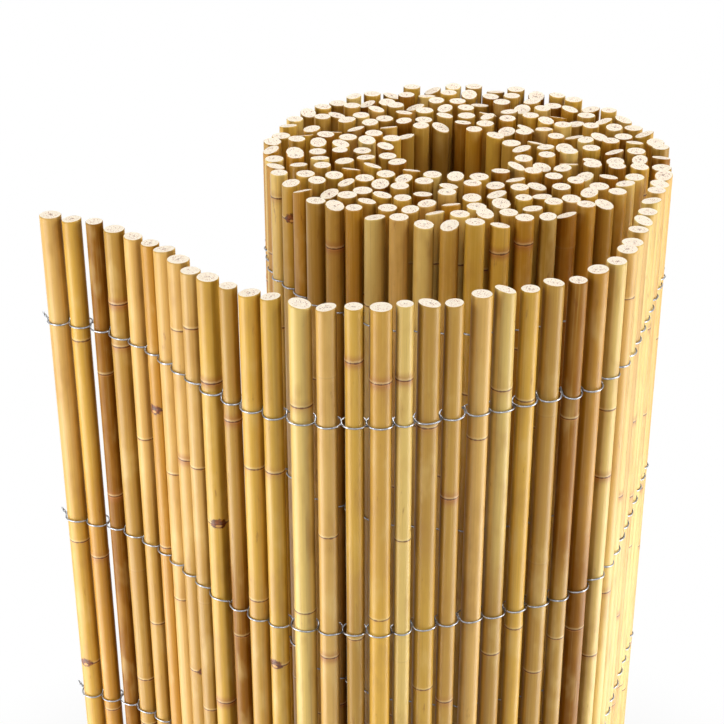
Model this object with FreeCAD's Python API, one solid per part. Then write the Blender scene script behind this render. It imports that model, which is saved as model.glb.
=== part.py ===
# Bamboo fence panel: canes bound side by side with wire, rolled up on end, its outer end left loose.
import FreeCAD, Part
import math
import os

# Canes
PANEL_HEIGHT = 1000.0      # floor to the highest sawn edge
THICKEST_CANE = 18.0       # diameter, taken across the flats
THINNEST_CANE = 13.5
CANE_SIDES = 8             # flats that stand for the round of a cane
CANE_GAP = 4.8             # usual clear space between neighbours, where the wires cross
TAIL_STAGGER = 8.0         # most that a cane of the tail stops short of the panel's height
ROLL_STAGGER = 4.5         # most that a cane of the roll stops short of it
TOP_SHARE = 0.4            # share of the roll's canes that reach it
FOOT_STAGGER = 4.0         # most that a cane stops short of the floor
FLOOR_SHARE = 0.3          # share of the canes that reach the floor
SAW_SLOPE = 20.0           # steepest sawn top in the roll, degrees from level
LEVEL_SHARE = 0.3          # share of the roll's canes that are sawn level

# Binding wire, one plain strand along the outer face of the canes in each row
WIRE_THICKNESS = 1.6
WIRE_ROWS = 5
WIRE_EDGE = 100.0          # outer wire rows to the panel's top and to the floor
WIRE_SEAT = 0.15           # clearance between a cane and its wire
WIRE_TAG = 7.0             # free wire past the last cane at either end

# Roll
CORE_RADIUS = 43.6         # open core inside the innermost cane
ROLL_TURNS = 6.3
RUNS_PER_TURN = 15         # straight runs of wire in one turn
TURN_CLEARANCE = 1.0       # back of the thickest cane to the wire of the turn inside it
EXIT_ANGLE = -18.0         # where the tail leaves the roll, degrees round from +X

# Tail from the roll to its free end: weight of each bend in the length, and degrees that it turns
# towards the roll
TAIL_LENGTH = 748.7
TAIL_BENDS = ((0.224, 0.0), (0.093, 52.0), (0.149, -3.9), (0.325, 84.4), (0.209, -50.1))
BEND_WEIGHTS = sum(weight for weight, turn in TAIL_BENDS)
BEND_RUN = 55.0            # longest run of wire in a bend

# First canes of the tail from its free end: thickness from 0 thinnest to 1 thickest, share of the tail's
# stagger that the cane stops short, slope of the sawn top in degrees, positive where the side towards
# the roll is the higher one, and clear space to the next cane as a share of the cane gap
TAIL_CANES = (
    (1.00, 0.08, 0.0, 0.70), (0.60, 0.08, 6.0, 1.25), (0.22, 0.04, 0.0, 1.15), (0.80, 0.31, 0.0, 1.10),
    (0.42, 0.34, -4.0, 1.40), (0.33, 0.30, 0.0, 0.65), (0.96, 0.04, 8.0, 0.60), (1.00, 0.36, 0.0, 0.60),
    (0.53, 0.67, 0.0, 1.50), (0.82, 0.28, -3.0, 1.70), (0.13, 0.28, 0.0, 0.75), (0.84, 0.29, 7.0, 0.60),
    (0.49, 0.11, 8.0, 1.35), (0.96, 0.39, -10.0, 0.85), (0.51, 0.45, 8.0, 1.30), (0.24, 0.43, 0.0, 0.90),
    (0.89, 0.51, 2.0, 0.60), (0.00, 0.34, 0.0, 0.90), (0.87, 0.51, -9.0, 0.75), (0.31, 0.91, 3.0, 1.55),
    (0.62, 0.56, 0.0, 0.80), (0.78, 0.29, -16.0, 1.05), (0.38, 0.95, 0.0, 1.00), (0.73, 0.61, -7.0, 1.00),
    (0.31, 0.89, 0.0, 1.00), (0.76, 0.38, 4.0, 1.40), (0.67, 0.43, 0.0, 0.60), (0.78, 0.03, 3.0, 1.00),
)

# Irrational steps whose fractions spread canes of every size and slope evenly along the panel
GOLDEN_STEP = (math.sqrt(5.0) - 1.0) / 2.0
PLASTIC_STEP = 0.7548776662
ROOT_STEP = math.sqrt(2.0) - 1.0

# Shares of a whole that rounding may add to a count, and size of a sawn-off block in corner radii
ROUNDING = 1e-6
WASTE_SIZE = 8.0

# The canes stand on the panel line, and the wire runs outside it
HALF_SIDE = math.pi / CANE_SIDES
WIRE_OFFSET = THICKEST_CANE / 2.0 + WIRE_SEAT + WIRE_THICKNESS / 2.0
RUN_TURN = 2.0 * math.pi / RUNS_PER_TURN
TURN_STACK = THICKEST_CANE + WIRE_SEAT + WIRE_THICKNESS + TURN_CLEARANCE
TURN_PITCH = TURN_STACK / math.cos(RUN_TURN / 2.0)
INNER_RADIUS = CORE_RADIUS + THICKEST_CANE / 2.0
OUTER_RADIUS = INNER_RADIUS + TURN_PITCH * ROLL_TURNS
ROLL_ANGLE = 2.0 * math.pi * ROLL_TURNS


def spread(index, step):
    """Fraction of index times an irrational step: numbers from 0 to 1 in no visible order."""
    return (index + 1) * step % 1.0


def direction(angle):
    """Level unit vector at an angle in radians round from +X."""
    return FreeCAD.Vector(math.cos(angle), math.sin(angle), 0.0)


def wound_length(wound):
    """Length of the spiral from the tail's exit to an angle wound inwards from there."""
    return OUTER_RADIUS * wound - TURN_PITCH * wound ** 2 / (4.0 * math.pi)


def wound_at(distance):
    """Angle wound inwards from the tail's exit after a distance along the spiral."""
    radius = math.sqrt(OUTER_RADIUS ** 2 - TURN_PITCH * distance / math.pi)
    return (OUTER_RADIUS - radius) * 2.0 * math.pi / TURN_PITCH


def roll_point(wound):
    """Point of the spiral and its heading outwards, at an angle wound inwards from the exit."""
    angle = math.radians(EXIT_ANGLE) + wound
    radius = OUTER_RADIUS - TURN_PITCH * wound / (2.0 * math.pi)
    return direction(angle) * radius, angle - math.pi / 2.0


def tail_point(distance):
    """Point of the tail and its heading, at a distance from the exit: arcs that follow on smoothly."""
    point, heading = roll_point(0.0)
    for weight, turn in TAIL_BENDS:
        length = TAIL_LENGTH * weight / BEND_WEIGHTS
        part = min(distance, length)
        half = math.radians(turn) * part / length / 2.0
        chord = part if half == 0.0 else part * math.sin(half) / half
        point = point + direction(heading - half) * chord
        heading = heading - 2.0 * half
        distance = distance - part
    return point, heading


def panel_point(station):
    """Point of the panel line and its heading outwards, at a station measured from the free end."""
    if station <= TAIL_LENGTH:
        return tail_point(TAIL_LENGTH - station)
    return roll_point(wound_at(station - TAIL_LENGTH))


def outward(heading):
    """Level normal on the left of a heading: the side of the panel that carries the wire."""
    return direction(heading + math.pi / 2.0)


def wire_stations():
    """Stations where the wire turns a corner, from the free end to the core."""
    stations = [TAIL_LENGTH]
    for weight, turn in TAIL_BENDS:
        length = TAIL_LENGTH * weight / BEND_WEIGHTS
        runs = 1 if turn == 0.0 else math.ceil(length / BEND_RUN)
        stations += [stations[-1] - length * (run + 1) / runs for run in range(runs)]
    stations = sorted(max(station, 0.0) for station in stations)
    corners = math.ceil(ROLL_ANGLE / RUN_TURN - ROUNDING)
    for corner in range(1, corners + 1):
        stations.append(TAIL_LENGTH + wound_length(min(corner * RUN_TURN, ROLL_ANGLE)))
    return stations


def wire_corners(stations):
    """Middle line of the wire: the panel line's points at the stations, moved out past the thickest cane."""
    corners = []
    for station in stations:
        point, heading = panel_point(station)
        corners.append(point + outward(heading) * WIRE_OFFSET)
    return corners


def run_normal(corners, run):
    """Outward normal of one straight run of wire."""
    along = (corners[run] - corners[run + 1]).normalize()
    return FreeCAD.Vector(-along.y, along.x, 0.0)


def flat_to(apothem, angle):
    """How far a cane reaches at an angle from the middle of one of its flats."""
    return apothem / math.cos(HALF_SIDE) * math.cos(HALF_SIDE - angle % (2.0 * HALF_SIDE))


def seated(base, out, apothem, corners, run):
    """Middle of a cane moved out from the panel line until it lies on the wire, by its own run and by each
    neighbouring run that bends round it."""
    own = run_normal(corners, run)
    limits = []
    for other in range(max(run - 1, 0), min(run + 2, len(corners) - 1)):
        far_end = corners[other] if other < run else corners[other + 1]
        if other != run and own.dot(far_end - corners[run]) > 0.0:
            continue
        normal = run_normal(corners, other)
        reach = flat_to(apothem, own.getAngle(normal)) + WIRE_SEAT + WIRE_THICKNESS / 2.0
        limits.append((normal.dot(corners[other] - base) - reach) / normal.dot(out))
    return base + out * min(limits), own


def spread_past(index, step, share):
    """Spread of the canes beyond a share of them, from 0 to 1. It is 0 for that share itself."""
    return max(0.0, spread(index, step) - share) / (1.0 - share)


def cane_sizes(index):
    """Diameter, drop of the top, slope of the sawn top, and clear space to the next cane, of a cane counted
    from the free end."""
    if index < len(TAIL_CANES):
        thickness, short, slope, space = TAIL_CANES[index]
        drop = TAIL_STAGGER * short
    else:
        space = 1.0
        thickness = math.sqrt((spread(index, GOLDEN_STEP) + spread(index, PLASTIC_STEP)) / 2.0)
        drop = ROLL_STAGGER * spread_past(index, GOLDEN_STEP, TOP_SHARE)
        slope = SAW_SLOPE * spread_past(index, ROOT_STEP, LEVEL_SHARE)
    diameter = THINNEST_CANE + (THICKEST_CANE - THINNEST_CANE) * thickness
    return diameter, drop, slope, CANE_GAP * space


def foot_height(index):
    """How far a cane's foot is above the floor. The end cane reaches the floor."""
    return 0.0 if index == 0 else FOOT_STAGGER * spread_past(index, PLASTIC_STEP, FLOOR_SHARE)


def cane(middle, facing, saw_angle, apothem, foot, top, slope):
    """Upright cane with one flat facing the wire, sawn off by a plane that slopes along saw_angle and leaves
    its highest corner at the top height."""
    corner_radius = apothem / math.cos(HALF_SIDE)
    ring = [direction(facing + HALF_SIDE * (2 * side + 1)) * corner_radius for side in range(CANE_SIDES + 1)]
    climb = direction(saw_angle) * math.tan(math.radians(slope))
    rise = max(climb.dot(corner) for corner in ring)
    stock_length = top + corner_radius - foot
    stock = Part.Face(Part.makePolygon(ring)).extrude(FreeCAD.Vector(0, 0, stock_length))
    stock.translate(middle + FreeCAD.Vector(0, 0, foot))
    side = WASTE_SIZE * corner_radius
    waste = Part.makeBox(side, side, side, FreeCAD.Vector(-side / 2.0, -side / 2.0, 0))
    waste.rotate(FreeCAD.Vector(), FreeCAD.Vector(0, 1, 0), -slope)
    waste.rotate(FreeCAD.Vector(), FreeCAD.Vector(0, 0, 1), math.degrees(saw_angle))
    waste.translate(middle + FreeCAD.Vector(0, 0, top - rise))
    return stock.cut(waste).Solids[0]


def build_canes(stations, corners):
    """All canes by node: one node for each cane of the tail, and one group for each turn of the roll."""
    panel_length = TAIL_LENGTH + wound_length(ROLL_ANGLE)
    nodes = {}
    station = cane_sizes(0)[0] / 2.0
    index = 0
    run = 0
    while True:
        diameter, drop, slope, space = cane_sizes(index)
        if station > panel_length - diameter / 2.0:
            return nodes
        while stations[run + 1] < station:
            run = run + 1
        base, heading = panel_point(station)
        middle, own = seated(base, outward(heading), diameter / 2.0, corners, run)
        facing = math.atan2(own.y, own.x)
        inwards = heading + math.pi
        saw_angle = inwards if index < len(TAIL_CANES) else 2.0 * math.pi * spread(index, PLASTIC_STEP)
        top = PANEL_HEIGHT - drop
        solid = cane(middle, facing, saw_angle, diameter / 2.0, foot_height(index), top, slope)
        if station <= TAIL_LENGTH:
            name = f"tail_cane_{index + 1:02d}"
        else:
            turn = int(wound_at(station - TAIL_LENGTH) / (2.0 * math.pi)) + 1
            name = f"turn_{turn}_canes"
        nodes.setdefault(name, []).append(solid)
        following = cane_sizes(index + 1)[0]
        station = station + (diameter + following) / 2.0 + space
        index = index + 1


def wire_strand(corners):
    """One row of wire: a band of even width along the middle line, with a free tag at each end."""
    first = corners[0] + (corners[0] - corners[1]).normalize() * WIRE_TAG
    last = corners[-1] + (corners[-1] - corners[-2]).normalize() * WIRE_TAG
    line = [first] + corners[1:-1] + [last]
    outer = []
    inner = []
    for place, point in enumerate(line):
        before = run_normal(line, max(place - 1, 0))
        after = run_normal(line, min(place, len(line) - 2))
        mitre = (before + after).normalize()
        half = mitre * (WIRE_THICKNESS / 2.0 / mitre.dot(after))
        outer.append(point + half)
        inner.append(point - half)
    ring = outer + inner[::-1] + outer[:1]
    return Part.Face(Part.makePolygon(ring)).extrude(FreeCAD.Vector(0, 0, WIRE_THICKNESS))


def build_wires(corners):
    """Wire rows from the top down, spaced evenly between the two edges."""
    strand = wire_strand(corners)
    spacing = (PANEL_HEIGHT - 2.0 * WIRE_EDGE) / (WIRE_ROWS - 1)
    nodes = {}
    for row in range(WIRE_ROWS):
        level = PANEL_HEIGHT - WIRE_EDGE - row * spacing
        wire = strand.copy()
        wire.translate(FreeCAD.Vector(0, 0, level - WIRE_THICKNESS / 2.0))
        nodes[f"wire_row_{row + 1}"] = [wire]
    return nodes


def main():
    stations = wire_stations()
    corners = wire_corners(stations)
    nodes = build_canes(stations, corners)
    nodes.update(build_wires(corners))
    box = Part.makeCompound([solid for solids in nodes.values() for solid in solids]).BoundBox
    to_origin = FreeCAD.Vector(-box.Center.x, -box.Center.y, 0)
    os.makedirs("parts", exist_ok=True)
    for name, solids in nodes.items():
        shape = solids[0] if len(solids) == 1 else Part.makeCompound(solids)
        shape.translate(to_origin)
        shape.exportStep(f"parts/{name}.step")
    print(len(nodes), "nodes,", sum(len(solids) for solids in nodes.values()), "solids")
    print("roll axis", round(to_origin.x, 2), round(to_origin.y, 2))
    print("size", round(box.XLength, 1), round(box.YLength, 1), round(box.ZLength, 1))
    print("lowest", round(box.ZMin, 3), "outer radius", round(OUTER_RADIUS, 1))


main()
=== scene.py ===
"""Looks of a bamboo fence panel: round canes with node rings, and doubled wire twisted in every gap."""
import math

import bpy
import numpy as np
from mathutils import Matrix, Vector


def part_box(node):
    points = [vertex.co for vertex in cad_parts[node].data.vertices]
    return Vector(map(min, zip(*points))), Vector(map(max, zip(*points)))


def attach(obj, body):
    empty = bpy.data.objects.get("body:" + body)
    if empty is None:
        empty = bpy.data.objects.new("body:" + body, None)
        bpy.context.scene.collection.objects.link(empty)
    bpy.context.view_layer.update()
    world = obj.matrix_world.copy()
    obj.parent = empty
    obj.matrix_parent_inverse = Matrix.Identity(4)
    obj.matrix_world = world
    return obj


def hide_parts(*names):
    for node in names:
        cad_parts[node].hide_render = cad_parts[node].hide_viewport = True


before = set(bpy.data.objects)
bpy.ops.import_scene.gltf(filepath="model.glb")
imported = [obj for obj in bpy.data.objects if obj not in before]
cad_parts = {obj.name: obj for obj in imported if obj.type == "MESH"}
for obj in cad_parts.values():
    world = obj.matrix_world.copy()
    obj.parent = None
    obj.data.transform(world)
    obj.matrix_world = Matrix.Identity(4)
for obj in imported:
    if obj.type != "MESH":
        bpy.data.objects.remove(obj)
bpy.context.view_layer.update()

MM = 0.001
SEED = 20
UP = np.array([0.0, 0.0, 1.0])

# Sizes of canes
PRISM_POINTS = 48            # loose corner points of one eight-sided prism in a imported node
PRISM_SIDES = 8
NODES_PER_CANE = 7           # places for node rings; a place with no mark and no swelling shows nothing
NODE_CLEAR = 24 * MM         # least distance from a node ring to a sawn end
NODE_APART = 24 * MM         # least distance between two node rings
LOWER_NODES = (530 * MM, 690 * MM, 845 * MM)   # further node rings of a listed cane, below its top
LOWER_SPREAD = 22 * MM       # how far those may lie from there
BEVEL = 0.45 * MM            # worn edge of a sawn end
BOW = 0.7 * MM               # most that a cane bends from its straight line
BOW_SHARES = (0.3, 1.0)      # least and most of that
BOW_WAVES = (0.7, 1.7)       # least and most half waves of a bend
OVAL = 0.022                 # most that a section departs from round, as a share of its radius
TAPER = 0.02                 # share of its radius that a cane loses from foot to top
TAIL_SIDES = 20              # columns round a cane of the tail
ROLL_SIDES = 12

# Chance, for what the lists below don't set
SHADE_SPREAD = 0.06          # how much lighter or darker than its tone a cane is
NODE_GAPS = (0.7, 1.5)       # least and most distance between node rings, as weights
END_GAPS = 1.1               # weight of the distances at both ends together
MARK_SHAPE = (1.6, 1.4)      # spread of the marks of node rings, from 0 for none to 1
SWELL_RANGE = (0.3, 1.1)     # least and most swelling of node rings, as a share of their profile
SCAR_SHARE = 0.05            # share of the node rings with a bud scar

# Marks of node rings on listed canes
LEAST_MARK = 0.5
FAINT_MARK = 0.12
STRONG_MARK = 0.95

# Rings of a cane besides its node rings
PLAIN_SHARES = (0.36, 0.64)  # where plain rings lie between neighbouring node rings
TOP_CLEAR = 12 * MM          # plain rings stay this far below a sawn top
LEAN_START = 6 * MM          # below the top, where rings lean half as much as the sawn plane
LEAN_FULL = 1.6 * MM         # below the top, from where they lean as much
FOOT_SHARE = 0.55            # radius share of the inner ring of a sawn foot
TOP_SHARES = (0.62, 0.3)     # radius shares of the inner rings of a sawn top
PITH_DIP = 0.2 * MM          # how far the pith lies below a sawn top
RIM_STEP = 0.04              # share by which a worn edge counts as farther in
FOOT_RINGS = 2               # first rings that belong to the sawn foot
TOP_RINGS = 3                # last rings that belong to the sawn top
FAR_FROM_NODE = 30.0         # mm, past which the skin shows nothing of a node ring

# Profile of a node ring: height from the ring, and swelling as a share of the cane's radius
NODE_HEIGHTS = np.array([-7.0, -2.6, -0.9, 0.0, 0.8, 2.4, 5.0, 9.0]) * MM
NODE_SWELLS = np.array([0.0, 0.010, 0.026, 0.004, 0.026, 0.034, 0.012, 0.0])

# Sizes of the wire
WIRE_RADIUS = 0.75 * MM
WIRE_SIDES = 6
WIRE_STEPS = 10              # points of a strand round one cane
WIRE_CLEAR = 0.1 * MM
CROSSING = 0.95 * MM         # height of a strand above or below the other where two strands cross
LOOP_DIP = 0.6 * MM          # how far a front loop hangs below the row
BACK_RISE = 1.2 * MM         # how far a back loop stands above the row
GAP_DROP = 2.2 * MM          # lowest crossing of the wires in a gap, below the row
GAP_RISE = 7.5 * MM          # most that a crossing climbs from there
CLIMB_POWER = 2.2            # the higher, the fewer crossings climb far
LOOP_ROUND = 0.9             # power of the sine that carries a loop round its cane
LOOP_LEVEL = 0.3             # power of the sine that keeps a loop level across its cane
ROW_WANDER = 1.3 * MM        # uneven height of a row along the panel
WANDER_BLEND = (0.25, 0.5, 0.25)
TAG_LENGTH = 5.5 * MM        # twisted wire ends beside the last cane
TAG_RISE = 5.0 * MM
TAG_START = 0.12             # share of its length at which a tag begins to be drawn
TAG_POINTS = 9
TAG_TURNS = 1.3
TAG_CURL = 1.5               # power that bends a tag upwards

# Sag of a wire row: canes counted from the free end, and how far the row hangs below its height there
SAG_CANES = (0, 6, 10, 13, 16, 19, 21, 25, 27, 40)
SAG_DEPTHS = np.array([0.0, -1.0, 2.0, 3.0, 5.0, 4.0, 7.0, 7.0, 2.0, 0.0]) * MM

# Camera, found from the canes' vanishing point and the roll's round top
PHOTO_SIZE = 724
FOCAL_PIXELS = 1728.0
SENSOR = 36.0
CAMERA_PITCH = math.radians(27.91)
CAMERA_YAW = math.radians(0.1)
CAMERA_PLACE = (-0.8 * MM, -1415.5 * MM, 1566.9 * MM)

# Lamps: place and target in m, width and height in m, and power in W
LAMPS = {
    "left_card": ((-0.99, -0.48, 0.38), (-0.27, -0.13, 1.36), (0.8, 1.05), 10.4),
    "right_card": ((1.1, -0.25, 0.38), (0.35, -0.08, 1.36), (0.8, 1.05), 8.8),
    "left_box": ((-2.0, -1.2, 1.8), (0.0, 0.0, 0.75), (0.7, 1.9), 31.5),
    "right_box": ((2.15, -0.55, 1.8), (0.1, 0.0, 0.75), (0.7, 1.9), 33.0),
    "front_box": ((0.2, -2.2, 2.6), (0.08, -0.05, 0.95), (0.8, 0.8), 11.2),
    "top_box": ((0.05, 1.0, 2.7), (0.05, 0.0, 0.8), (1.2, 1.2), 26.0),
}
WORLD_COLOUR = (0.96, 0.98, 1.0, 1.0)
WORLD_STRENGTH = 0.05
FLOOR_HALF = 12.0            # m
FLOOR_COLOUR = (0.86, 0.86, 0.86, 1.0)
SHADOW_REACH = (0.3, 0.75)   # m from the middle, where the floor starts to turn white and is white
SHADOW_WHITE = 0.5           # share of white on the floor under the panel


def srgb(red, green, blue):
    """Linear colour of an 8-bit screen colour."""
    share = np.array([red, green, blue]) / 255.0
    return np.where(share <= 0.04045, share / 12.92, ((share + 0.055) / 1.055) ** 2.4)


TONES = {
    "pale": srgb(233, 198, 110),
    "cream": srgb(220, 174, 90),
    "straw": srgb(213, 166, 60),
    "honey": srgb(194, 138, 34),
    "olive": srgb(180, 136, 50),
    "tan": srgb(194, 148, 58),
    "brown": srgb(150, 96, 14),
}
TONE_SHARES = (0.10, 0.10, 0.18, 0.14, 0.18, 0.20, 0.10)   # how often chance picks each of them
TONE_HEIGHTS = (0.62, 0.86)  # m, between which a cane's lower tone turns into its upper one
TONE_DRIFT = 0.7             # how far noise moves that change
TONE_BLEND = (0.2, 0.8)      # how gradual it is

# Patterns of the skin: waves in a metre across and along a cane
DRIFT_SCALE = (12.0, 5.0)
FIBRE_SCALE = (700.0, 9.0)
CLOUD_SCALE = (45.0, 16.0)
STAIN_SCALE = (160.0, 30.0)
RAGGED_SCALE = (420.0, 60.0)
PATCHY_SCALE = (330.0, 330.0)
PATTERN_APART = 57.0         # how far apart the patterns of two canes may lie
NOISE_RANGE = (0.3, 0.7)     # where most values of a noise lie

# Painted shade on the flanks of a cane, where the gaps between neighbouring canes fall dark
GAP_SHADE_FLANK = (0.86, 1.0)    # sine of the angle from straight outwards, where the painted shade starts and is full
GAP_SHADE_SHARE = 0.55
GAP_SHADE_LEAST = 0.65           # part of that where the clouds of the skin are thin

# Marks of a node ring: mm from it where a mark starts to show and where it is full, and its share then
FLUSH_REACH, FLUSH_SHARE = (9.0, 0.5), 0.75
BAND_REACH, BAND_SHARE = (3.2, 1.0), 0.4
EDGE_REACH, EDGE_SHARE = (2.2, 1.0), 0.35
LINE_REACH, LINE_SHARE = (0.95, 0.3), 0.9
SCAR_REACH, SCAR_STRENGTH = (14.0, 9.0), 0.92
RAGGED_MM = 1.4              # mm, by which the first four reaches wander round a cane
RAGGED_SCAR = 0.9            # how ragged the edge of a bud scar is
SIDE_BLEND = (-0.4, 0.6)     # mm from below a ring to above it
FULL_MARK = 0.6              # mark from which a ring shows in full
FLUSH_MARK = 0.55            # mark from which the skin is flushed round it

# Gloss of the skin
TONE_LIGHT = (0.08, 0.34)    # lightness of the darkest and of the palest tones
TONE_SHEEN = (0.14, 0.48)    # and their sheen
DULL_GAP_SHADE = 0.4             # share of painted shade that leaves the least sheen
DULL_SHEEN = 0.1             # part of the sheen that is left there
SKIN_ROUGHNESS = (0.33, 0.43)
FIBRE_RELIEF = 0.5           # relief of the fibres, where the line of a node ring is 1 deep

# Patterns of the sawn ends and the wire: scale on the piece, and values where they start and are full
GRAIN_SCALE, GRAIN_BLEND = 900.0, (0.3, 0.75)
SPECK_SCALE, SPECK_BLEND = 760.0, (0.42, 0.24)
PATCH_SCALE = 330.0
SPECK_PATCHES = (0.44, 0.52)
PITH_PATCHES = (0.5, 0.68)
HUSK_PATCHES = (0.4, 0.65)
ZINC_SCALE, ZINC_BLEND = 420.0, (0.35, 0.7)
ZINC_ROUGHNESS = (0.22, 0.4)

# Marks of a sawn end: shares of its radius where a mark starts and is full, and its share then
SPECK_REACH, SPECK_SHARE = (0.85, 0.55), 0.9
PITH_REACH, PITH_SHARE = (0.34, 0.05), 0.8
RIM_REACH, RIM_SHARE = (0.86, 0.98), 0.8

# Colours of the skin
DARK_FIBRE = srgb(156, 112, 44)
PALE_FIBRE = srgb(244, 214, 128)
DARK_CLOUD = srgb(184, 134, 54)
PALE_CLOUD = srgb(240, 208, 132)
STAIN = srgb(136, 76, 26)
# Painted shade for the flanks turned to neighbouring canes
GAP_SHADE_COLOUR = srgb(88, 50, 16)
NODE_FLUSH = srgb(170, 104, 46)
NODE_BAND = srgb(246, 224, 160)
NODE_EDGE = srgb(214, 150, 84)
NODE_LINE = srgb(98, 50, 24)
DARK_HUSK = srgb(78, 26, 6)
LIGHT_HUSK = srgb(140, 64, 20)
BUD_HEART = srgb(222, 166, 84)

# Colours of the sawn ends and the wire
END_PALE = srgb(255, 247, 229)
END_CREAM = srgb(247, 227, 198)
END_RIM = srgb(255, 248, 226)
END_SPECK = srgb(176, 92, 62)
END_PITH = srgb(110, 62, 40)
LIGHT_ZINC = srgb(178, 181, 186)
DARK_ZINC = srgb(130, 134, 140)

# Canes of the tail from the free end: upper tone, lower tone, and node rings in mm below the top
OUTER_CANES = (
    ("cream", "straw", (323, 462)), ("straw", "honey", (111, 335)), ("brown", "brown", (141, 265)),
    ("tan", "tan", (66, 106, 336, 460)), ("cream", "tan", (189, 385)), ("honey", "honey", (152, 292)),
    ("cream", "cream", (207, 338)), ("cream", "tan", (60, 182, 403)), ("cream", "tan", (48, 178, 315, 432)),
    ("straw", "straw", (90, 223, 411)), ("tan", "brown", (117, 328)), ("straw", "tan", (153, 282)),
    ("straw", "straw", (153, 343)), ("pale", "pale", (86, 281)), ("cream", "cream", (57, 203, 323)),
    ("straw", "olive", (45, 305)), ("tan", "straw", (62, 284)), ("pale", "pale", (63, 210, 331)),
    ("tan", "straw", (105, 362)), ("tan", "tan", (172, 378)), ("cream", "cream", (125,)),
    ("pale", "tan", (85, 343)), ("straw", "straw", (96, 319)), ("tan", "tan", (116, 259, 373)),
    ("brown", "olive", (121, 341)), ("honey", "brown", (343,)), ("pale", "pale", (132, 197, 384)),
    # From the 28th cane on the tones are pale and cream: partly the canes' own tone and partly a painted
    # highlight of the strong light on the panel's right end
    ("cream", "pale", (41, 330)), ("pale", "pale", (240,)), ("cream", "pale", (300,)),
    ("pale", "pale", (190, 400)), ("pale", "cream", (280,)), ("pale", "pale", (120, 350)),
    ("cream", "pale", (220,)), ("pale", "pale", (310,)), ("cream", "cream", (160, 390)),
)

# Canes on the near side of the roll, from left to right as seen
FIRST_ROLL_CANE = 68
ROLL_CANES = (
    ("pale", "straw", (22, 150)), ("straw", "honey", (31,)), ("honey", "honey", (210,)),
    ("olive", "tan", (170,)), ("tan", "tan", (37,)), ("honey", "brown", (180,)),
    ("pale", "tan", (80,)), ("cream", "olive", (260,)), ("pale", "olive", (190,)),
    ("tan", "tan", (240,)), ("straw", "olive", (160,)), ("straw", "olive", (23,)),
    ("honey", "tan", (22, 120)), ("olive", "olive", (200,)), ("brown", "tan", (28,)),
    ("honey", "brown", (140,)), ("olive", "brown", (220,)), ("tan", "tan", (180,)),
)
LISTED_CANES = {**dict(enumerate(OUTER_CANES, 1)), **dict(enumerate(ROLL_CANES, FIRST_ROLL_CANE))}

# Bud scars seen on listed canes: cane, node ring, and degrees to the right of the middle as seen
SEEN_SCARS = ((1, 462, -25), (6, 152, -35), (8, 403, 40), (10, 223, 5), (13, 343, -35), (69, 31, 8))

# Node rings of listed canes with a faint or a strong mark: cane and node ring
FAINT_NODES = ((4, 336), (15, 57), (18, 331), (24, 116), (24, 259), (9, 315), (82, 28))
STRONG_NODES = ((3, 265), (8, 182), (10, 90), (11, 117), (16, 45), (17, 62), (18, 63), (20, 172), (72, 37),
                (79, 23), (80, 22))


# Canes as the frame places them

def read_canes(node):
    """Middle, radius, foot, top and slope of each prism in a node. The middle is the mean of the corners,
    the radius gives a round of the prism's own section area, and the top is the plane that best fits the
    upper corners."""
    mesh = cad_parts[node].data
    points = np.empty(len(mesh.vertices) * 3, np.float32)
    mesh.vertices.foreach_get("co", points)
    points = points.reshape(-1, PRISM_POINTS, 3).astype(float)
    middle = points[:, :, :2].mean(axis=1)
    reach = points[:, :, :2] - middle[:, None]
    heights = points[:, :, 2]
    foot = heights.min(axis=1)
    upper = heights > heights.mean(axis=1, keepdims=True)
    top = (heights * upper).sum(axis=1) / upper.sum(axis=1)
    rise = (heights - top[:, None])[:, :, None] * reach * upper[:, :, None]
    spread = (reach[:, :, :1] ** 2 * upper[:, :, None]).sum(axis=1)
    corner = np.linalg.norm(reach, axis=2).max(axis=1)
    radius = corner * math.sqrt(PRISM_SIDES * math.sin(2 * math.pi / PRISM_SIDES) / (2 * math.pi))
    return {"middle": middle, "radius": radius, "foot": foot, "top": top, "slope": rise.sum(axis=1) / spread}


CANE_NODES = sorted(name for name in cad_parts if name.startswith("tail_cane_"))
CANE_NODES += sorted(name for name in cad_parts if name.startswith("turn_"))
WIRE_NODES = sorted(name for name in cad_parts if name.startswith("wire_row_"))
BY_NODE = {name: read_canes(name) for name in CANE_NODES}
PANEL = {key: np.concatenate([BY_NODE[name][key] for name in CANE_NODES]) for key in BY_NODE[CANE_NODES[0]]}
CANES = len(PANEL["radius"])


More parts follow.
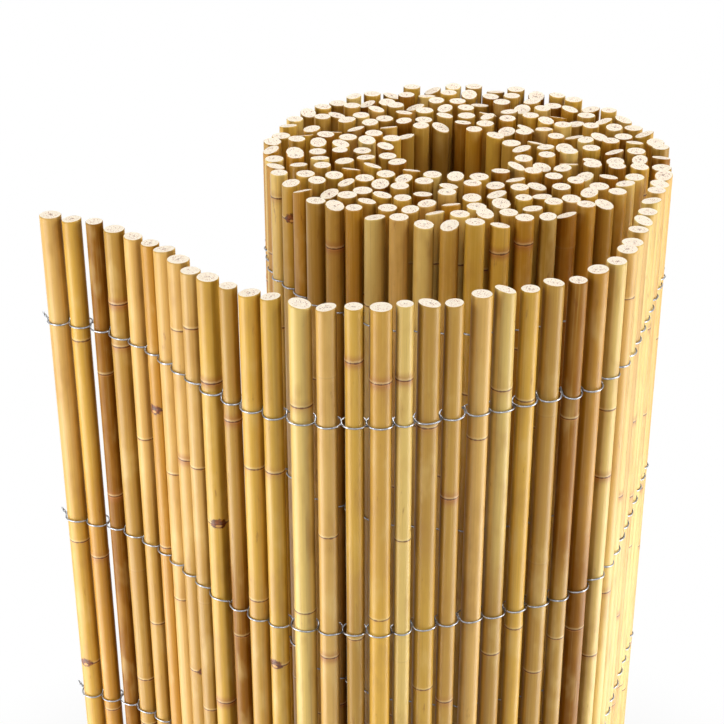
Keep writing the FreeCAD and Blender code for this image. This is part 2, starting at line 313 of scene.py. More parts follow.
def cane_characters():
    """What makes each cane its own: tones, node rings, bow, oval section and the direction of its buds.
    Rings are spread at uneven distances, and the listed canes then get the tones, rings and scars seen on
    them."""
    rng = np.random.default_rng(SEED)
    names = list(TONES)
    tone = rng.choice(len(names), size=(CANES, 2), p=TONE_SHARES)
    shade = rng.normal(1.0, SHADE_SPREAD, (CANES, 1))
    gaps = rng.uniform(*NODE_GAPS, (CANES, NODES_PER_CANE + 1))
    shift = rng.uniform(0.0, 1.0, CANES)
    gaps[:, 0] = END_GAPS * shift
    gaps[:, -1] = END_GAPS * (1.0 - shift)
    shares = np.cumsum(gaps, axis=1)[:, :-1] / gaps.sum(axis=1, keepdims=True)
    length = (PANEL["top"] - PANEL["foot"])[:, None]
    node_z = PANEL["foot"][:, None] + NODE_CLEAR + shares * (length - 2 * NODE_CLEAR)
    mark = rng.beta(*MARK_SHAPE, (CANES, NODES_PER_CANE))
    swell = rng.uniform(*SWELL_RANGE, (CANES, NODES_PER_CANE))
    scar = (rng.uniform(0.0, 1.0, (CANES, NODES_PER_CANE)) < SCAR_SHARE).astype(float)
    bud = rng.uniform(0.0, 2 * math.pi, CANES)
    for number, (upper, lower, depths) in LISTED_CANES.items():
        cane = number - 1
        tone[cane] = names.index(upper), names.index(lower)
        rings = [depth * MM for depth in depths]
        rings += [depth + rng.uniform(-LOWER_SPREAD, LOWER_SPREAD) for depth in LOWER_NODES]
        while len(rings) < NODES_PER_CANE:
            rings.append(rings[-1] + NODE_APART)
            mark[cane, NODES_PER_CANE - len(rings)] = 0.0
            swell[cane, NODES_PER_CANE - len(rings)] = 0.0
        node_z[cane] = PANEL["top"][cane] - np.array(rings[::-1])
        mark[cane, -len(depths):] = np.maximum(mark[cane, -len(depths):], LEAST_MARK)
        scar[cane] = 0.0

    def place_of(number, depth):
        """Cane and ring of a listed node, counted from 0 at the foot."""
        return number - 1, NODES_PER_CANE - 1 - LISTED_CANES[number][2].index(depth)

    for number, depth in FAINT_NODES:
        mark[place_of(number, depth)] = FAINT_MARK
    for number, depth in STRONG_NODES:
        mark[place_of(number, depth)] = STRONG_MARK
    for number, depth, right in SEEN_SCARS:
        scar[place_of(number, depth)] = 1.0
        bud[number - 1] = math.radians(right - 90)
    tones = np.array([TONES[name] for name in names])
    return {
        "tone_a": tones[tone[:, 0]] * shade,
        "tone_b": tones[tone[:, 1]] * shade,
        "seed": rng.uniform(0.0, 1.0, CANES),
        "node_z": node_z,
        "node_mark": mark,
        "node_swell": swell,
        "scar": scar,
        "bud": bud,
        "bow": rng.uniform(*BOW_SHARES, CANES) * BOW,
        "bow_turn": rng.uniform(0.0, 2 * math.pi, CANES),
        "bow_waves": rng.uniform(*BOW_WAVES, CANES),
        "oval": rng.uniform(0.0, OVAL, CANES),
        "oval_turn": rng.uniform(0.0, math.pi, CANES),
    }


PANEL.update(cane_characters())


# Meshes from whole arrays

def new_mesh(name, points, quads, triangles, materials, finish, smooth):
    """Mesh object at the origin from an array of points, faces of four and of three corners, and the
    material number and smoothness of each face, quads first."""
    mesh = bpy.data.meshes.new(name)
    corners = np.concatenate([quads.ravel(), triangles.ravel()]).astype(np.int32)
    sizes = np.concatenate([np.full(len(quads), 4), np.full(len(triangles), 3)]).astype(np.int32)
    mesh.vertices.add(len(points))
    mesh.vertices.foreach_set("co", points.astype(np.float32).ravel())
    mesh.loops.add(len(corners))
    mesh.loops.foreach_set("vertex_index", corners)
    mesh.polygons.add(len(sizes))
    mesh.polygons.foreach_set("loop_start", (np.cumsum(sizes) - sizes).astype(np.int32))
    mesh.polygons.foreach_set("loop_total", sizes)
    for material in materials:
        mesh.materials.append(material)
    mesh.polygons.foreach_set("material_index", finish.astype(np.int32))
    mesh.polygons.foreach_set("use_smooth", smooth.astype(bool))
    mesh.update(calc_edges=True)
    mesh.validate()
    piece = bpy.data.objects.new(name, mesh)
    bpy.context.scene.collection.objects.link(piece)
    return piece


def point_value(piece, name, values):
    """A number for each point of a piece, for its material to read."""
    values = values.astype(np.float32).ravel()
    piece.data.attributes.new(name, "FLOAT", "POINT").data.foreach_set("value", values)


def point_colour(piece, name, colours):
    """A colour for each point of a piece, for its material to read."""
    colours = np.concatenate([colours, np.ones((len(colours), 1))], axis=1).astype(np.float32)
    piece.data.attributes.new(name, "FLOAT_COLOR", "POINT").data.foreach_set("color", colours.ravel())


# Canes

def cane_rings(canes):
    """Rings of a cane from foot to top: height, radius share, inset, how much of the top's slope a ring
    takes, and the nearest node ring's number. Every node ring has the same profile of heights, and plain
    rings lie between neighbouring node rings."""
    count = len(canes["radius"])
    foot, top, node_z = canes["foot"], canes["top"], canes["node_z"]
    heights, swells, nearest = [], [], []
    lows = np.concatenate([foot[:, None] + 2 * BEVEL, node_z + NODE_HEIGHTS[-1]], axis=1)
    highs = np.concatenate([node_z + NODE_HEIGHTS[0], top[:, None] - TOP_CLEAR], axis=1)
    for number in range(NODES_PER_CANE + 1):
        for share in PLAIN_SHARES:
            heights.append(lows[:, number] * (1.0 - share) + highs[:, number] * share)
            swells.append(np.zeros(count))
            nearest.append(min(max(number - 1 if share < 0.5 else number, 0), NODES_PER_CANE - 1))
        if number < NODES_PER_CANE:
            for rise, swell in zip(NODE_HEIGHTS, NODE_SWELLS):
                heights.append(node_z[:, number] + rise)
                swells.append(swell * canes["node_swell"][:, number])
                nearest.append(number)
    first, last = nearest[0], nearest[-1]
    below = [(foot, FOOT_SHARE, 0.0, 0.0), (foot, 1.0, BEVEL, 0.0), (foot + BEVEL, 1.0, 0.0, 0.0)]
    above = [(top - LEAN_START, 1.0, 0.0, 0.5), (top - LEAN_FULL, 1.0, 0.0, 1.0)]
    above += [(top - BEVEL, 1.0, 0.0, 1.0), (top, 1.0, BEVEL, 1.0)]
    above += [(top, TOP_SHARES[0], 0.0, 1.0), (top - PITH_DIP / 2, TOP_SHARES[1], 0.0, 1.0)]
    body = [(height, 1.0 + swell, 0.0, 0.0) for height, swell in zip(heights, swells)]
    rings = below + body + above
    near = [first] * len(below) + nearest + [last] * len(above)
    height = np.stack([ring[0] for ring in rings], axis=1)
    share = np.stack([np.broadcast_to(ring[1], count) for ring in rings], axis=1)
    inset = np.array([ring[2] for ring in rings])
    slope = np.array([ring[3] for ring in rings])
    return height, share, inset, slope, np.array(near)


def build_canes(name, canes, sides):
    """Canes of one node as one piece. A cane is a tube on a grid of rings and columns: its radius is the
    ring's share of the cane's own radius, a little oval, its middle line bows as a sine of the height, and
    its rings lean towards the top until the last ones lie in the sawn plane. A fan of triangles closes each
    end."""
    count = len(canes["radius"])
    height, share, inset, lean, near = cane_rings(canes)
    rings = len(inset)
    turn = np.linspace(-math.pi, math.pi, sides, endpoint=False)
    angle = canes["bud"][:, None] + turn
    length = (canes["top"] - canes["foot"])[:, None]
    climb = (height - canes["foot"][:, None]) / length
    radius = canes["radius"][:, None] * (1.0 + TAPER * (0.5 - climb)) * share - inset
    oval = 1.0 + canes["oval"][:, None] * np.cos(2 * (angle - canes["oval_turn"][:, None]))
    wave = np.sin(math.pi * canes["bow_waves"][:, None] * climb + canes["bow_turn"][:, None])
    bow = (wave * canes["bow"][:, None])[:, :, None]
    bow_way = np.stack([np.cos(canes["bow_turn"]), np.sin(canes["bow_turn"])], axis=1)
    line = canes["middle"][:, None] + bow * bow_way[:, None]
    way = np.stack([np.cos(angle), np.sin(angle)], axis=2)
    reach = radius[:, :, None, None] * (oval[:, :, None] * way)[:, None]
    flat = line[:, :, None] + reach
    rise = (reach * canes["slope"][:, None, None]).sum(axis=3) * lean[:, None]
    grid = np.concatenate([flat, (height[:, :, None] + rise)[..., None]], axis=3)
    foot_pole = np.concatenate([line[:, 0], canes["foot"][:, None]], axis=1)
    top_pole = np.concatenate([line[:, -1], canes["top"][:, None] - PITH_DIP], axis=1)
    points = np.concatenate([grid.reshape(count, -1, 3), foot_pole[:, None], top_pole[:, None]], axis=1)
    per_cane = rings * sides + 2
    start = np.arange(count)[:, None, None] * per_cane
    ring = np.arange(rings - 1)[None, :, None] * sides
    column = np.arange(sides)[None, None, :]
    following = (column + 1) % sides
    quads = np.stack([start + ring + column, start + ring + following,
                      start + ring + sides + following, start + ring + sides + column], axis=3)
    quads = quads.reshape(-1, 4)
    column, following, start = column[:, 0], following[:, 0], start[:, 0]
    last = (rings - 1) * sides
    foot_fan = np.stack(np.broadcast_arrays(start + following, start + column,
                                            start + rings * sides), axis=2)
    top_fan = np.stack(np.broadcast_arrays(start + last + column, start + last + following,
                                           start + rings * sides + 1), axis=2)
    triangles = np.concatenate([foot_fan.reshape(-1, 3), top_fan.reshape(-1, 3)])
    ring_finish = np.zeros(rings - 1)
    ring_finish[:FOOT_RINGS - 1] = 1
    ring_finish[-(TOP_RINGS - 1):] = 1
    finish = np.concatenate([np.tile(np.repeat(ring_finish, sides), count), np.ones(len(triangles))])
    materials = [CANE_SKIN, CANE_END]
    piece = new_mesh(name, points.reshape(-1, 3), quads, triangles, materials, finish, finish == 0)

    arc = np.linspace(-math.pi, math.pi, sides + 1) * canes["radius"][:, None]
    across = np.stack([arc[:, :-1], arc[:, 1:], arc[:, 1:], arc[:, :-1]], axis=2)
    up = np.stack([height[:, :-1], height[:, :-1], height[:, 1:], height[:, 1:]], axis=2)
    skin = np.stack(np.broadcast_arrays(across[:, None], up[:, :, None]), axis=4).reshape(-1, 2)
    skin = np.concatenate([skin, np.zeros((len(triangles) * 3, 2))])
    piece.data.uv_layers.new(name="skin").data.foreach_set("uv", skin.astype(np.float32).ravel())

    def per_point(ring_values, pole_values):
        """Values for each ring spread to all its points, then those of the two poles."""
        spread = np.repeat(np.broadcast_to(ring_values, (count, rings)), sides, axis=1)
        return np.concatenate([spread, np.broadcast_to(pole_values, (count, 2))], axis=1)

    pick = np.broadcast_to(near, (count, rings))
    gap = height - np.take_along_axis(canes["node_z"], pick, axis=1)
    distance = np.minimum(np.abs(gap) / MM, FAR_FROM_NODE)
    point_value(piece, "node_gap", per_point(distance, FAR_FROM_NODE))
    point_value(piece, "node_side", per_point(np.clip(gap / MM, -1.0, 1.0), 0.0))
    point_value(piece, "node_mark", per_point(np.take_along_axis(canes["node_mark"], pick, axis=1), 0.0))
    point_value(piece, "scar", per_point(np.take_along_axis(canes["scar"], pick, axis=1), 0.0))
    point_value(piece, "cane_seed", np.repeat(canes["seed"], per_cane))
    # How far each column turns from straight outwards, for the painted shade between neighbouring canes
    flank = np.tile(np.abs(np.sin(angle - canes["outward"][:, None])), (1, rings))
    point_value(piece, "flank", np.concatenate([flank, np.zeros((count, 2))], axis=1))
    top_share = np.clip(share[0] - inset / BEVEL * RIM_STEP, 0.0, 1.0)
    end_share = np.where(np.arange(rings) < rings // 2, 1.0, top_share)
    end_share[0] = FOOT_SHARE
    point_value(piece, "end_share", per_point(end_share[None], 0.0))
    point_colour(piece, "tone_a", np.repeat(canes["tone_a"], per_cane, axis=0))
    point_colour(piece, "tone_b", np.repeat(canes["tone_b"], per_cane, axis=0))
    return piece


# Wires

def panel_gaps():
    """Points between neighbouring canes where the wires cross, one more than there are canes, and the
    outward normals at the canes. The outer points at the two ends lie one gap past the end canes."""
    middle, radius = PANEL["middle"], PANEL["radius"]
    step = middle[1:] - middle[:-1]
    apart = np.linalg.norm(step, axis=1)
    share = (radius[:-1] + (apart - radius[:-1] - radius[1:]) / 2.0) / apart
    inner = middle[:-1] + step * share[:, None]
    first = 2 * middle[0] - inner[0]
    last = 2 * middle[-1] - inner[-1]
    gaps = np.concatenate([first[None], inner, last[None]])
    along = gaps[1:] - gaps[:-1]
    along = along / np.linalg.norm(along, axis=1, keepdims=True)
    normal = np.stack([along[:, 1], -along[:, 0]], axis=1)
    return gaps, normal


GAPS, NORMALS = panel_gaps()
PANEL["outward"] = np.arctan2(NORMALS[:, 1], NORMALS[:, 0])


def strand_line(row, phase, climb, wander):
    """Middle line of one strand of a row. Round a cane it is half an ellipse from gap to gap, on the outer
    face of every second cane and on the inner face of the others, so that two strands of opposite phase
    cross in every gap, one above the other. It starts and ends in a tag twisted with the other strand."""
    share = np.arange(WIRE_STEPS) / WIRE_STEPS
    side = np.where((np.arange(CANES) + phase) % 2 == 0, 1.0, -1.0)
    level = row + climb + CROSSING * np.where((np.arange(CANES + 1) + phase) % 2 == 0, 1.0, -1.0)
    swing = np.cos(math.pi * share)
    bulge = np.sin(math.pi * share)
    back = (GAPS[:-1] - PANEL["middle"])[:, None] * np.maximum(swing, 0.0)[None, :, None]
    ahead = (GAPS[1:] - PANEL["middle"])[:, None] * np.maximum(-swing, 0.0)[None, :, None]
    out = side * (PANEL["radius"] + WIRE_RADIUS + WIRE_CLEAR)
    round_cane = NORMALS[:, None] * (out[:, None] * bulge ** LOOP_ROUND)[:, :, None]
    flat = PANEL["middle"][:, None] + back + ahead + round_cane
    blend = (1.0 - swing) / 2.0
    middle_level = row + wander + np.where(side > 0, -LOOP_DIP, BACK_RISE)
    ends_level = level[:-1, None] * (1.0 - blend) + level[1:, None] * blend
    settle = bulge ** LOOP_LEVEL
    height = ends_level * (1.0 - settle) + middle_level[:, None] * settle
    wave = np.concatenate([flat, height[:, :, None]], axis=2).reshape(-1, 3)
    return np.concatenate([wire_tag(row, phase, GAPS[0], GAPS[0] - GAPS[1])[::-1], wave,
                           wire_tag(row, phase, GAPS[-1], GAPS[-1] - GAPS[-2])])


def wire_tag(row, phase, place, away):
    """Free end of a strand: a helix round the line that leads away from the end cane and upwards."""
    share = np.linspace(TAG_START, 1.0, TAG_POINTS)
    away = away / np.linalg.norm(away)
    across = np.array([-away[1], away[0]])
    spin = 2 * math.pi * TAG_TURNS * share + math.pi * phase
    flat = place + away * (TAG_LENGTH * share)[:, None] + across * (WIRE_RADIUS * np.cos(spin))[:, None]
    height = row + TAG_RISE * share ** TAG_CURL + WIRE_RADIUS * np.sin(spin)
    return np.concatenate([flat, height[:, None]], axis=1)


def build_wire(name, row, number):
    """Both strands of a row as one piece: round tubes carried along their middle lines, closed at the ends.
    The row wanders a little, sags where it is set to, and climbs in the gaps by chance."""
    rng = np.random.default_rng(SEED + number)
    sag = np.interp(np.arange(CANES + 1), SAG_CANES, SAG_DEPTHS)
    wander = np.convolve(rng.normal(0.0, 1.0, CANES + 2), WANDER_BLEND, "valid") * ROW_WANDER
    wander = wander - (sag[1:] + sag[:-1]) / 2.0
    climb = GAP_RISE * rng.uniform(0.0, 1.0, CANES + 1) ** CLIMB_POWER - GAP_DROP - sag
    points, quads, triangles = [], [], []
    start = 0
    for phase in (0, 1):
        line = strand_line(row, phase, climb, wander)
        along = np.gradient(line, axis=0)
        along = along / np.linalg.norm(along, axis=1, keepdims=True)
        side = np.cross(along, UP)
        side = side / np.linalg.norm(side, axis=1, keepdims=True)
        top = np.cross(side, along)
        turn = 2 * math.pi * np.arange(WIRE_SIDES) / WIRE_SIDES
        tube = line[:, None] + WIRE_RADIUS * (np.cos(turn)[None, :, None] * side[:, None]
                                              + np.sin(turn)[None, :, None] * top[:, None])
        ring = start + np.arange(len(line) - 1)[:, None] * WIRE_SIDES
        column = np.arange(WIRE_SIDES)[None, :]
        following = (column + 1) % WIRE_SIDES
        quads.append(np.stack([ring + column, ring + WIRE_SIDES + column,
                               ring + WIRE_SIDES + following, ring + following], axis=2).reshape(-1, 4))
        poles = start + len(line) * WIRE_SIDES
        last = start + (len(line) - 1) * WIRE_SIDES
        column, following = column[0], following[0]
        triangles.append(np.stack(np.broadcast_arrays(start + column, start + following, poles), axis=1))
        triangles.append(np.stack(np.broadcast_arrays(last + following, last + column, poles + 1), axis=1))
        points += [tube.reshape(-1, 3), line[[0, -1]]]
        start = poles + 2
    quads, triangles = np.concatenate(quads), np.concatenate(triangles)
    faces = len(quads) + len(triangles)
    finish, smooth = np.zeros(faces), np.ones(faces)
    return new_mesh(name, np.concatenate(points), quads, triangles, [WIRE_ZINC], finish, smooth)


# Materials

def new_material(name):
    """Empty node material with its shader node."""
    material = bpy.data.materials.new(name)
    material.use_nodes = True
    return material, material.node_tree, material.node_tree.nodes["Principled BSDF"]


def put(tree, kind, inputs, **settings):
    """New node with its settings. Its inputs, by name or number, are values or sockets of other nodes."""
    node = tree.nodes.new(kind)
    for key, value in settings.items():
        setattr(node, key, value)
    for key, value in inputs.items():
        if isinstance(value, bpy.types.NodeSocket):
            tree.links.new(value, node.inputs[key])
        else:
            node.inputs[key].default_value = value
    return node


def sums(tree, operation, first, second=0.0, third=0.0):
    """Result of one sum on numbers or sockets."""
    return put(tree, "ShaderNodeMath", {0: first, 1: second, 2: third}, operation=operation).outputs[0]


def ramp(tree, value, low, high, to_low=0.0, to_high=1.0):
    """Smooth step of a value from one range to another."""
    inputs = {"Value": value, "From Min": low, "From Max": high, "To Min": to_low, "To Max": to_high}
    return put(tree, "ShaderNodeMapRange", inputs, interpolation_type="SMOOTHSTEP").outputs[0]


def mixed(tree, share, first, second, blend="MIX"):
    """Mix of two colours or colour sockets."""
    colours = {}
    for key, colour in ((6, first), (7, second)):
        colours[key] = colour if isinstance(colour, bpy.types.NodeSocket) else (*colour, 1.0)
    node = put(tree, "ShaderNodeMix", {0: share, **colours}, data_type="RGBA", blend_type=blend)
    return node.outputs[2]


def noise(tree, place, detail=3.0, roughness=0.55):
    """Noise value at a place whose scale is already set."""
    inputs = {"Vector": place, "Scale": 1.0, "Detail": detail, "Roughness": roughness}
    return put(tree, "ShaderNodeTexNoise", inputs).outputs["Fac"]


def read(tree, name, output="Fac"):
    """Value of a point attribute."""
    return put(tree, "ShaderNodeAttribute", {}, attribute_name=name).outputs[output]


def cane_skin():
    """Smooth waxy skin: two tones that drift along the cane, lengthwise fibres, stains, painted shade with
    little sheen on the flanks turned to the neighbours, a dark line and a pale band at each node ring, and
    bud scars on a few of them."""
    material, tree, shader = new_material("cane_skin")
    skin = put(tree, "ShaderNodeUVMap", {}, uv_map="skin").outputs[0]
    seed = sums(tree, "MULTIPLY", read(tree, "cane_seed"), PATTERN_APART)
    split = put(tree, "ShaderNodeSeparateXYZ", {"Vector": skin})

    def along(across_scale, up_scale):
        """Place on the skin, stretched, and moved apart for every cane."""
        across = sums(tree, "MULTIPLY_ADD", split.outputs[0], across_scale, seed)
        up = sums(tree, "MULTIPLY_ADD", split.outputs[1], up_scale, seed)
        return put(tree, "ShaderNodeCombineXYZ", {0: across, 1: up, 2: seed}).outputs[0]

    def tinted(base, pattern, tint, shows_from, full_at, most):
        """Base colour with a tint mixed in where a pattern's value goes from one number to another."""
        return mixed(tree, ramp(tree, pattern, shows_from, full_at, to_high=most), base, tint)

    upper = sums(tree, "SUBTRACT", ramp(tree, split.outputs[1], *TONE_HEIGHTS), TONE_DRIFT / 2)
    drift = sums(tree, "MULTIPLY_ADD", noise(tree, along(*DRIFT_SCALE), detail=2.0), TONE_DRIFT, upper)
    tone_a = read(tree, "tone_a", "Color")
    tone_b = read(tree, "tone_b", "Color")
    colour = mixed(tree, ramp(tree, drift, *TONE_BLEND), tone_b, tone_a)
    light = put(tree, "ShaderNodeRGBToBW", {"Color": colour}).outputs[0]
    fibre = noise(tree, along(*FIBRE_SCALE), detail=4.0, roughness=0.6)
    colour = tinted(colour, fibre, DARK_FIBRE, shows_from=0.48, full_at=0.85, most=0.4)
    colour = tinted(colour, fibre, PALE_FIBRE, shows_from=0.5, full_at=0.2, most=0.25)
    cloud = noise(tree, along(*CLOUD_SCALE))
    colour = tinted(colour, cloud, DARK_CLOUD, shows_from=0.5, full_at=0.72, most=0.5)
    colour = tinted(colour, cloud, PALE_CLOUD, shows_from=0.48, full_at=0.28, most=0.3)
    stain = noise(tree, along(*STAIN_SCALE), detail=4.0, roughness=0.65)
    colour = tinted(colour, stain, STAIN, shows_from=0.63, full_at=0.78, most=0.65)

    # Painted shade: flanks turned to the neighbouring canes darken, patchy with the clouds, so the gaps
    # between canes look deep
    gap_shade = ramp(tree, read(tree, "flank"), *GAP_SHADE_FLANK, to_high=GAP_SHADE_SHARE)
    gap_shade = sums(tree, "MULTIPLY", gap_shade, ramp(tree, cloud, *NOISE_RANGE, to_low=GAP_SHADE_LEAST))
    colour = mixed(tree, gap_shade, colour, GAP_SHADE_COLOUR)

    gap = read(tree, "node_gap")
    side = read(tree, "node_side")
    mark = read(tree, "node_mark")
    shown = ramp(tree, mark, 0.0, FULL_MARK)
    ragged = noise(tree, along(*RAGGED_SCALE), detail=2.0)
    ragged = sums(tree, "MULTIPLY_ADD", ragged, RAGGED_MM, -RAGGED_MM / 2)
    near = sums(tree, "ADD", gap, ragged)
    above = ramp(tree, side, *SIDE_BLEND)
    below = sums(tree, "SUBTRACT", 1.0, above)
    flush = ramp(tree, near, *FLUSH_REACH, to_high=FLUSH_SHARE)
    flush = sums(tree, "MULTIPLY", flush, ramp(tree, mark, FLUSH_MARK, 1.0))
    colour = mixed(tree, flush, colour, NODE_FLUSH)
    band = ramp(tree, near, *BAND_REACH, to_high=BAND_SHARE)
    band = sums(tree, "MULTIPLY", band, sums(tree, "MULTIPLY", above, shown))
    colour = mixed(tree, band, colour, NODE_BAND)
    edge = ramp(tree, near, *EDGE_REACH, to_high=EDGE_SHARE)
    edge = sums(tree, "MULTIPLY", edge, sums(tree, "MULTIPLY", below, shown))
    colour = mixed(tree, edge, colour, NODE_EDGE)
    line = ramp(tree, near, *LINE_REACH)
    line = sums(tree, "MULTIPLY", line, ramp(tree, mark, 0.0, FULL_MARK, to_high=LINE_SHARE))
    colour = mixed(tree, line, colour, NODE_LINE)

    height = sums(tree, "MULTIPLY", gap, side)
    patchy = noise(tree, along(*PATCHY_SCALE))
    scar = sums(tree, "MULTIPLY", read(tree, "scar"), ramp(tree, gap, *SCAR_REACH))

    def bud_mark(half_width, half_height, raised, low, high):
        """Share of an oval patch with ragged edges on the bud's middle line, raised from the ring. Widths
        are in m as on the skin's map, heights in mm as from the ring."""
        wide = sums(tree, "POWER", sums(tree, "MULTIPLY", split.outputs[0], 1.0 / half_width), 2.0)
        tall = sums(tree, "MULTIPLY", sums(tree, "SUBTRACT", height, raised), 1.0 / half_height)
        oval = sums(tree, "SQRT", sums(tree, "ADD", wide, sums(tree, "POWER", tall, 2.0)))
        oval = sums(tree, "SUBTRACT", oval, RAGGED_SCAR / 2)
        oval = sums(tree, "MULTIPLY_ADD", patchy, RAGGED_SCAR, oval)
        return sums(tree, "MULTIPLY", ramp(tree, oval, high, low, to_high=SCAR_STRENGTH), scar)

    husk = mixed(tree, ramp(tree, patchy, *HUSK_PATCHES), DARK_HUSK, LIGHT_HUSK)
    outer = bud_mark(half_width=8.0 * MM, half_height=5.2, raised=0.6, low=0.75, high=1.05)
    inner = bud_mark(half_width=3.6 * MM, half_height=2.0, raised=-1.4, low=0.5, high=0.8)
    colour = mixed(tree, outer, colour, husk)
    colour = mixed(tree, inner, colour, BUD_HEART)

    tree.links.new(colour, shader.inputs["Base Color"])
    sheen = ramp(tree, light, *TONE_LIGHT, *TONE_SHEEN)
    # The painted shade on the flanks also takes most of the sheen away
    sheen = sums(tree, "MULTIPLY", sheen, ramp(tree, gap_shade, 0.0, DULL_GAP_SHADE, 1.0, DULL_SHEEN))
    tree.links.new(sheen, shader.inputs["Specular IOR Level"])
    rough = ramp(tree, fibre, *NOISE_RANGE, *SKIN_ROUGHNESS)
    tree.links.new(rough, shader.inputs["Roughness"])
    relief = sums(tree, "MULTIPLY_ADD", fibre, FIBRE_RELIEF, sums(tree, "MULTIPLY", line, -1.0))
    bump = put(tree, "ShaderNodeBump", {"Strength": 0.25, "Distance": 0.2 * MM, "Height": relief})
    tree.links.new(bump.outputs[0], shader.inputs["Normal"])
    return material


def cane_end():
    """Sawn end: pale cream wood, whiter at the rim, with rusty specks of cut fibres and a darker pith."""
    material, tree, shader = new_material("cane_end")
    place = put(tree, "ShaderNodeTexCoord", {}).outputs["Object"]
    share = read(tree, "end_share")
    inputs = {"Vector": place, "Scale": GRAIN_SCALE, "Detail": 3.0}
    grain = put(tree, "ShaderNodeTexNoise", inputs).outputs["Fac"]
    colour = mixed(tree, ramp(tree, grain, *GRAIN_BLEND), END_PALE, END_CREAM)
    inputs = {"Vector": place, "Scale": SPECK_SCALE, "Randomness": 1.0}
    specks = put(tree, "ShaderNodeTexVoronoi", inputs)
    speck = ramp(tree, specks.outputs["Distance"], *SPECK_BLEND)
    inputs = {"Vector": place, "Scale": PATCH_SCALE, "Detail": 2.0}
    patch = put(tree, "ShaderNodeTexNoise", inputs).outputs["Fac"]
    speck = sums(tree, "MULTIPLY", speck, ramp(tree, patch, *SPECK_PATCHES))
    speck = sums(tree, "MULTIPLY", speck, ramp(tree, share, *SPECK_REACH))
    colour = mixed(tree, sums(tree, "MULTIPLY", speck, SPECK_SHARE), colour, END_SPECK)
    pith = sums(tree, "MULTIPLY", ramp(tree, share, *PITH_REACH), ramp(tree, patch, *PITH_PATCHES))
    colour = mixed(tree, sums(tree, "MULTIPLY", pith, PITH_SHARE), colour, END_PITH)
    colour = mixed(tree, ramp(tree, share, *RIM_REACH, to_high=RIM_SHARE), colour, END_RIM)
    tree.links.new(colour, shader.inputs["Base Color"])
    bump = put(tree, "ShaderNodeBump", {"Strength": 0.3, "Distance": 0.2 * MM, "Height": grain})
    tree.links.new(bump.outputs[0], shader.inputs["Normal"])
    shader.inputs["Roughness"].default_value = 0.75
    return material


def wire_zinc():
    """Bright galvanised wire with a faintly mottled zinc coat."""
    material, tree, shader = new_material("wire_zinc")
    place = put(tree, "ShaderNodeTexCoord", {}).outputs["Object"]
    inputs = {"Vector": place, "Scale": ZINC_SCALE, "Detail": 3.0}
    mottle = put(tree, "ShaderNodeTexNoise", inputs).outputs["Fac"]
    colour = mixed(tree, ramp(tree, mottle, *ZINC_BLEND), LIGHT_ZINC, DARK_ZINC)
    tree.links.new(colour, shader.inputs["Base Color"])
    tree.links.new(ramp(tree, mottle, *NOISE_RANGE, *ZINC_ROUGHNESS), shader.inputs["Roughness"])
    shader.inputs["Metallic"].default_value = 1.0
    return material


CANE_SKIN = cane_skin()
CANE_END = cane_end()
WIRE_ZINC = wire_zinc()


# Pieces

def dress(piece, node):
    """A piece stands for its node, on the panel's one body."""
    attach(piece, "root")
    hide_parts(node)


first = 0
for node in CANE_NODES:
    last = first + len(BY_NODE[node]["radius"])
    canes = {key: values[first:last] for key, values in PANEL.items()}
    sides = TAIL_SIDES if node.startswith("tail_cane_") else ROLL_SIDES
    dress(build_canes(node.replace("cane", "bamboo"), canes, sides), node)
    first = last

for number, node in enumerate(WIRE_NODES):
    low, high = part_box(node)
    dress(build_wire(f"twisted_wire_{number + 1}", (low.z + high.z) / 2.0, number), node)


# Stage

def white_to_camera(tree, shader_socket, share):
    """Shader mixed with plain white for what the camera, mirrors and glass see."""
    path = put(tree, "ShaderNodeLightPath", {})
    seen = sums(tree, "MAXIMUM", path.outputs["Is Camera Ray"], path.outputs["Is Glossy Ray"])
    seen = sums(tree, "MAXIMUM", seen, path.outputs["Is Transmission Ray"])
    white = put(tree, "ShaderNodeEmission", {"Color": (1.0, 1.0, 1.0, 1.0), "Strength": 1.0})
    inputs = {0: sums(tree, "MULTIPLY", seen, share), 1: shader_socket, 2: white.outputs[0]}
    return put(tree, "ShaderNodeMixShader", inputs).outputs[0]


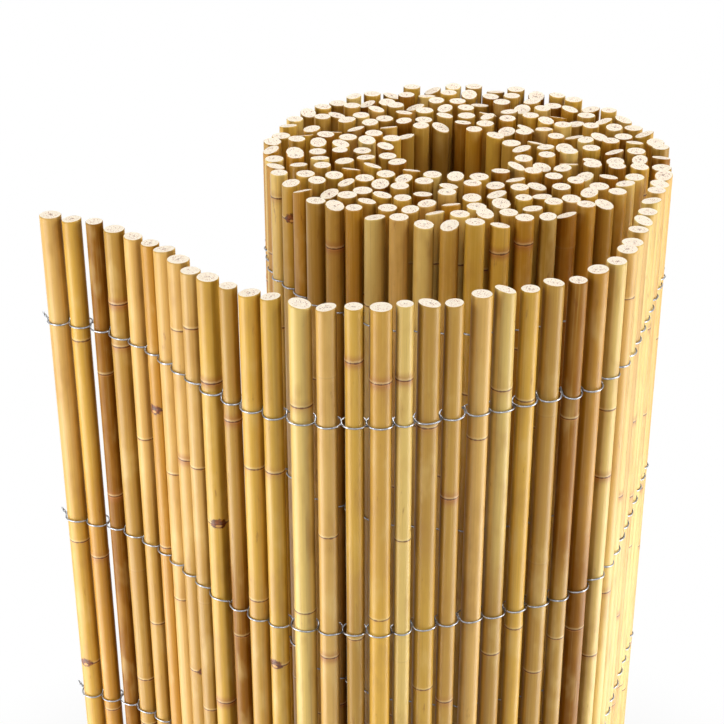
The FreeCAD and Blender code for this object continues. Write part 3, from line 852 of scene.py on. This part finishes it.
def build_floor():
    """Pale floor that keeps a soft shadow round the panel and turns white away from it."""
    corners = FLOOR_HALF * np.array([[-1.0, -1.0, 0.0], [1.0, -1.0, 0.0], [1.0, 1.0, 0.0], [-1.0, 1.0, 0.0]])
    material, tree, shader = new_material("pale_floor")
    shader.inputs["Base Color"].default_value = FLOOR_COLOUR
    shader.inputs["Roughness"].default_value = 0.9
    place = put(tree, "ShaderNodeTexCoord", {}).outputs["Object"]
    away = put(tree, "ShaderNodeVectorMath", {0: place}, operation="LENGTH").outputs["Value"]
    share = ramp(tree, away, *SHADOW_REACH, SHADOW_WHITE, 1.0)
    output = tree.nodes["Material Output"]
    tree.links.new(white_to_camera(tree, shader.outputs[0], share), output.inputs["Surface"])
    faces = np.array([[0, 1, 2, 3]])
    floor = new_mesh("pale_floor", corners, faces, np.zeros((0, 3)), [material], np.zeros(1), np.zeros(1))


def build_world():
    """Soft white surroundings."""
    world = bpy.data.worlds.new("studio")
    world.use_nodes = True
    tree = world.node_tree
    around = tree.nodes["Background"]
    around.inputs["Color"].default_value = WORLD_COLOUR
    around.inputs["Strength"].default_value = WORLD_STRENGTH
    output = tree.nodes["World Output"]
    tree.links.new(white_to_camera(tree, around.outputs[0], 1.0), output.inputs["Surface"])
    bpy.context.scene.world = world


def soft_light(name, place, target, size, power):
    """Soft box at a place, turned to a target."""
    lamp = bpy.data.lights.new(name, "AREA")
    lamp.shape = "RECTANGLE"
    lamp.size, lamp.size_y = size
    lamp.energy = power
    holder = bpy.data.objects.new(name, lamp)
    holder.visible_camera = False
    holder.location = place
    aim = np.array(target) - np.array(place)
    tilt = math.atan2(math.hypot(aim[0], aim[1]), -aim[2])
    holder.rotation_euler = (tilt, 0.0, math.atan2(aim[1], aim[0]) - math.pi / 2)
    bpy.context.scene.collection.objects.link(holder)


def build_camera():
    """Camera where the photograph was taken from."""
    lens = bpy.data.cameras.new("camera")
    lens.sensor_width = SENSOR
    lens.lens = SENSOR * FOCAL_PIXELS / PHOTO_SIZE
    lens.clip_end = 100.0
    camera = bpy.data.objects.new("camera", lens)
    camera.location = CAMERA_PLACE
    camera.rotation_euler = (math.pi / 2 - CAMERA_PITCH, 0.0, CAMERA_YAW)
    bpy.context.scene.collection.objects.link(camera)
    bpy.context.scene.camera = camera


build_floor()
build_world()
for name, (place, target, size, power) in LAMPS.items():
    soft_light(name, place, target, size, power)
build_camera()
bpy.context.scene.view_settings.view_transform = "Standard"
